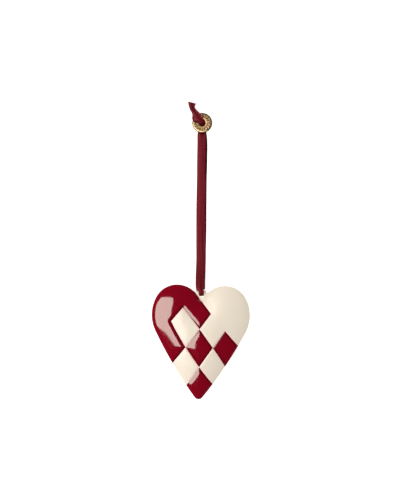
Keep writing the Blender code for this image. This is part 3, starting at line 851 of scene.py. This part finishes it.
def make_ring():
    deselect_all()
    profile = ring_profile()
    count = len(profile)
    mesh = bpy.data.meshes.new("ring_face")
    mesh.from_pydata([(r, 0.0, z) for r, z in profile], [(n, (n + 1) % count) for n in range(count)], [])
    ring = bpy.data.objects.new("ring_brass", mesh)
    bpy.context.collection.objects.link(ring)
    select_only(ring)
    bpy.ops.object.mode_set(mode="EDIT")
    bpy.ops.mesh.select_all(action="SELECT")
    bpy.ops.mesh.spin(steps=STROKE_COUNT * STEPS_PER_STROKE, angle=2 * math.pi, center=(0, 0, 0), axis=(0, 0, 1))
    bpy.ops.mesh.select_all(action="SELECT")
    bpy.ops.mesh.remove_doubles(threshold=0.002 * MM)
    bpy.ops.mesh.normals_make_consistent(inside=False)
    bpy.ops.mesh.select_mode(type="FACE")
    bpy.ops.mesh.select_all(action="DESELECT")
    bpy.ops.object.mode_set(mode="OBJECT")

    floor = RING_THICKNESS - CHANNEL_DEPTH
    step_angle = 2 * math.pi / (STROKE_COUNT * STEPS_PER_STROKE)
    for face in ring.data.polygons:
        middle = face.center
        radius = math.hypot(middle.x, middle.y)
        in_floor = abs(middle.z - floor) < 0.01 * MM and CHANNEL[0] < radius < CHANNEL[1]
        face.material_index = 1 if in_floor else 0
        step = int((math.atan2(middle.y, middle.x) % (2 * math.pi)) / step_angle) % STEPS_PER_STROKE
        wide_band = face.area > 3e-8
        face.select = in_floor and wide_band and STROKE_STEPS[0] <= step < STROKE_STEPS[1]
    bpy.ops.object.mode_set(mode="EDIT")
    bpy.ops.mesh.extrude_region_move(TRANSFORM_OT_translate={"value": (0, 0, STROKE_TOP * 0.4)})
    bpy.ops.mesh.inset(thickness=0.24 * MM, depth=STROKE_TOP * 0.6)
    bpy.ops.object.mode_set(mode="OBJECT")
    for face in ring.data.polygons:
        if face.center.z > floor + 0.02 * MM:
            face.material_index = 0
    return ring


def place_ring(ring):
    """Lies the ring where its solid is: the side towards the heart is lifted by the ribbon under it."""
    low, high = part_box("ring")
    tilt = math.radians(RING_TILT)
    half = RING_OUTER * math.cos(tilt) + RING_ROUNDING * (1 - math.cos(tilt))
    lift = math.sin(tilt) * (RING_OUTER - RING_ROUNDING) + RING_ROUNDING * (1 - math.cos(tilt))
    ring.rotation_euler = (-tilt, 0.0, 0.0)
    ring.location = ((low.x + high.x) / 2, low.y + half, lift)
    select_only(ring)
    bpy.ops.object.transform_apply(location=True, rotation=True, scale=True)
    bpy.ops.object.shade_smooth_by_angle(angle=math.radians(32))


ring = make_ring()
place_ring(ring)
ring_low, ring_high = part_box("ring")
ring_points = coordinates(ring)
print("ring box:", ring_points.min(axis=0).round(5), ring_points.max(axis=0).round(5))
print("its solid:", [round(x, 5) for x in ring_low], [round(x, 5) for x in ring_high])

# %% [markdown]
# ## Satin
# Satin ribbon has long floating warp threads along its length. They give it a soft sheen and fine lengthwise
# lines, 0.15 mm apart on the real one. The lines are drawn four times as coarse here, so that they show. Soft
# lengthwise streaks between a darker and a lighter colour are painted sheen and painted fold shade. The reverse
# of such a ribbon is dull and a little darker, and it is painted darker still as painted shade on the lower
# layer. Just below the ring the cloth is darkened as a painted shadow of the ring.

# %% Satin material
SATIN_HEX = "#701A24"
SATIN_SHADE_HEX = "#480C14"
# The reverse is painted darker than dull satin alone would be: painted shade on the lower layer.
REVERSE_IN_SHADE_HEX = "#3C060C"
REVERSE_SHADE_HEX = "#260206"
SATIN_GLINT_HEX = "#D8606C"
# Painted shadow of the ring on the cloth just below it.
RING_SHADOW_HEX = "#2A0206"
WARP_SPACING = 0.6 * MM


def add_satin(name, thread_hex, shade_hex, roughness, gloss_level):
    material, shader = new_material(name)
    tree = material.node_tree
    cloth = add_node(material, "ShaderNodeUVMap", {}, uv_map="cloth")
    warp = add_node(material, "ShaderNodeTexWave", {
        "Vector": cloth.outputs["UV"], "Scale": 1.0 / WARP_SPACING / 3.14, "Distortion": 1.5, "Detail": 2.0},
        wave_type="BANDS", bands_direction="X")
    # Painted sheen and painted fold shade: long streaks mix a darker and a lighter satin colour.
    streak_place = add_node(material, "ShaderNodeMapping", {
        "Vector": cloth.outputs["UV"], "Scale": (900.0, 40.0, 1.0)})
    sheen_streak = add_node(material, "ShaderNodeTexNoise", {
        "Vector": streak_place.outputs["Vector"], "Scale": 1.0, "Detail": 3.0})
    contrast = add_node(material, "ShaderNodeMapRange", {
        "Value": sheen_streak.outputs["Fac"], "From Min": 0.3, "From Max": 0.7})
    colour = add_node(material, "ShaderNodeMix", {
        "Factor": contrast.outputs["Result"], "A": linear(shade_hex), "B": linear(thread_hex)}, data_type="RGBA")
    # Painted shadow of the ring: the cloth just below the ring turns dark.
    ring_shadow = add_node(material, "ShaderNodeAttribute", {}, attribute_name="ring_shadow")
    ring_shadowed = add_node(material, "ShaderNodeMix", {
        "Factor": ring_shadow.outputs["Fac"], "A": colour.outputs["Result"], "B": linear(RING_SHADOW_HEX)}, data_type="RGBA")
    tree.links.new(ring_shadowed.outputs["Result"], shader.inputs["Base Color"])
    bump = add_node(material, "ShaderNodeBump", {
        "Strength": 0.3, "Distance": 0.03 * MM, "Height": warp.outputs["Fac"]})
    tree.links.new(bump.outputs["Normal"], shader.inputs["Normal"])
    shader.inputs["Roughness"].default_value = roughness
    shader.inputs["Specular IOR Level"].default_value = gloss_level
    shader.inputs["Specular Tint"].default_value = linear(SATIN_GLINT_HEX)
    return material


satin = add_satin("burgundy_satin", SATIN_HEX, SATIN_SHADE_HEX, 0.42, 0.25)
# The reverse satin is partly the ribbon's dull back, partly painted shade on the lower layer.
reverse = add_satin("burgundy_satin_reverse_in_shade", REVERSE_IN_SHADE_HEX, REVERSE_SHADE_HEX, 0.7, 0.05)
for ribbon in cords.values():
    ribbon.data.materials.append(satin)
    ribbon.data.materials.append(reverse)

# %% [markdown]
# ## Brass
# The ring is plain brass, polished where fingers touch it and dull and brown in the struck channel.

# %% Brass materials
BRASS_HEX = "#D8B88E"
BRASS_DULL_HEX = "#987C54"


def add_brass(name, colour_hex, least_rough, most_rough):
    material, shader = new_material(name)
    tree = material.node_tree
    place = add_node(material, "ShaderNodeTexCoord", {})
    wear = add_node(material, "ShaderNodeTexNoise", {
        "Vector": place.outputs["Object"], "Scale": 700.0, "Detail": 3.0})
    rough = add_node(material, "ShaderNodeMapRange", {
        "Value": wear.outputs["Fac"], "To Min": least_rough, "To Max": most_rough})
    tree.links.new(rough.outputs["Result"], shader.inputs["Roughness"])
    tone = add_node(material, "ShaderNodeMapRange", {"Value": wear.outputs["Fac"], "To Min": 0.8, "To Max": 1.1})
    colour = add_node(material, "ShaderNodeHueSaturation", {
        "Value": tone.outputs["Result"], "Color": linear(colour_hex)})
    tree.links.new(colour.outputs["Color"], shader.inputs["Base Color"])
    shader.inputs["Metallic"].default_value = 1.0
    return material


ring.data.materials.append(add_brass("polished_brass", BRASS_HEX, 0.28, 0.42))
ring.data.materials.append(add_brass("dull_brass", BRASS_DULL_HEX, 0.4, 0.6))

# %% [markdown]
# ## Floor and light
# The floor is a plain white table. A pale surround and one large soft lamp from the left light everything, and
# a long softbox on the left is mirrored in the enamel, as it is in the photograph.

# %% Floor
FLOOR_SIZE = 6.0
FLOOR_HEX = "#F4F4F2"


def add_floor():
    deselect_all()
    bpy.ops.mesh.primitive_plane_add(size=FLOOR_SIZE, location=(0.0, 0.0, -0.02 * MM))
    floor = bpy.context.object
    floor.name = "floor"
    material, shader = new_material("white_table")
    shader.inputs["Base Color"].default_value = linear(FLOOR_HEX)
    shader.inputs["Roughness"].default_value = 0.8
    shader.inputs["Emission Color"].default_value = linear(FLOOR_HEX)
    shader.inputs["Emission Strength"].default_value = 0.7
    floor.data.materials.append(material)
    floor.visible_glossy = False


add_floor()

# %% Lamps and surround
SURROUND_STRENGTH = 0.72
MIRRORED_SURROUND = 0.03
KEY_WATTS = 6.2
SOFTBOX_WATTS = 40.0
SOFTBOX_SIZE = (0.78, 1.52)
SOFTBOX_ROLL = 9.0
SOFTBOX_HEX = "#FFFDF0"
RING_LAMP_WATTS = 19.0
LAMP_DISTANCE = 1.0
HEART_MIDDLE = Vector((0.0, 0.0, 0.007))


def add_lamp(name, azimuth, elevation, roll, size, watts, hex_colour):
    """A rectangular lamp that faces the heart. Azimuth 180 is on its left."""
    a, e = math.radians(azimuth), math.radians(elevation)
    away = Vector((math.cos(a) * math.cos(e), math.sin(a) * math.cos(e), math.sin(e)))
    bpy.ops.object.light_add(type="AREA", location=HEART_MIDDLE + away * LAMP_DISTANCE)
    lamp = bpy.context.object
    lamp.name = name
    facing = away.to_track_quat("Z", "Y") @ Quaternion((0.0, 0.0, 1.0), math.radians(roll))
    lamp.rotation_euler = facing.to_euler()
    lamp.data.shape = "RECTANGLE"
    lamp.data.size, lamp.data.size_y = size
    lamp.data.energy = watts
    lamp.data.color = linear(hex_colour)[:3]
    return lamp


def light_only(lamp, receivers):
    """Flags a lamp, as a photographer does with a black card, so that it reaches only some pieces."""
    reached = bpy.data.collections.new(lamp.name + "_reaches")
    for piece in receivers:
        reached.objects.link(piece)
    lamp.light_linking.receiver_collection = reached


deselect_all()
key = add_lamp("key_lamp", 170.0, 45.0, 0.0, (0.9, 0.9), KEY_WATTS, "#FFFFFF")
key.visible_glossy = False
softbox = add_lamp("mirrored_softbox", 177.1, 42.8, SOFTBOX_ROLL, SOFTBOX_SIZE, SOFTBOX_WATTS, SOFTBOX_HEX)
softbox.visible_diffuse = False
ring_lamp = add_lamp("ring_lamp", 212.0, 62.0, 0.0, (1.3, 1.3), RING_LAMP_WATTS, "#FFF8F0")
light_only(softbox, [skin, lug, *cords.values()])
light_only(ring_lamp, [ring])

world = bpy.data.worlds.new("pale_surround")
bpy.context.scene.world = world
world.use_nodes = True
background = world.node_tree.nodes["Background"]
background.inputs["Color"].default_value = (1.0, 1.0, 1.0, 1.0)
path_kind = add_node(world, "ShaderNodeLightPath", {})
strength = add_node(world, "ShaderNodeMapRange", {
    "Value": path_kind.outputs["Is Glossy Ray"], "To Min": SURROUND_STRENGTH, "To Max": MIRRORED_SURROUND})
world.node_tree.links.new(strength.outputs["Result"], background.inputs["Strength"])
bpy.context.scene.view_settings.view_transform = "Standard"

# %% [markdown]
# ## The pieces on the body
# Every piece rides on the model's one body, and the solid that it stands for is hidden.

# %% Pieces in the frame
for piece, node, slot in ((skin, "heart", "enamel"), (lug, "heart", "enamel"), (ring, "ring", "brass"),
                          (cords["ribbon_upper"], "ribbon", "ribbon"), (cords["ribbon_lower"], "ribbon", "ribbon")):
    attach(piece, "root")
    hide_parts(node)
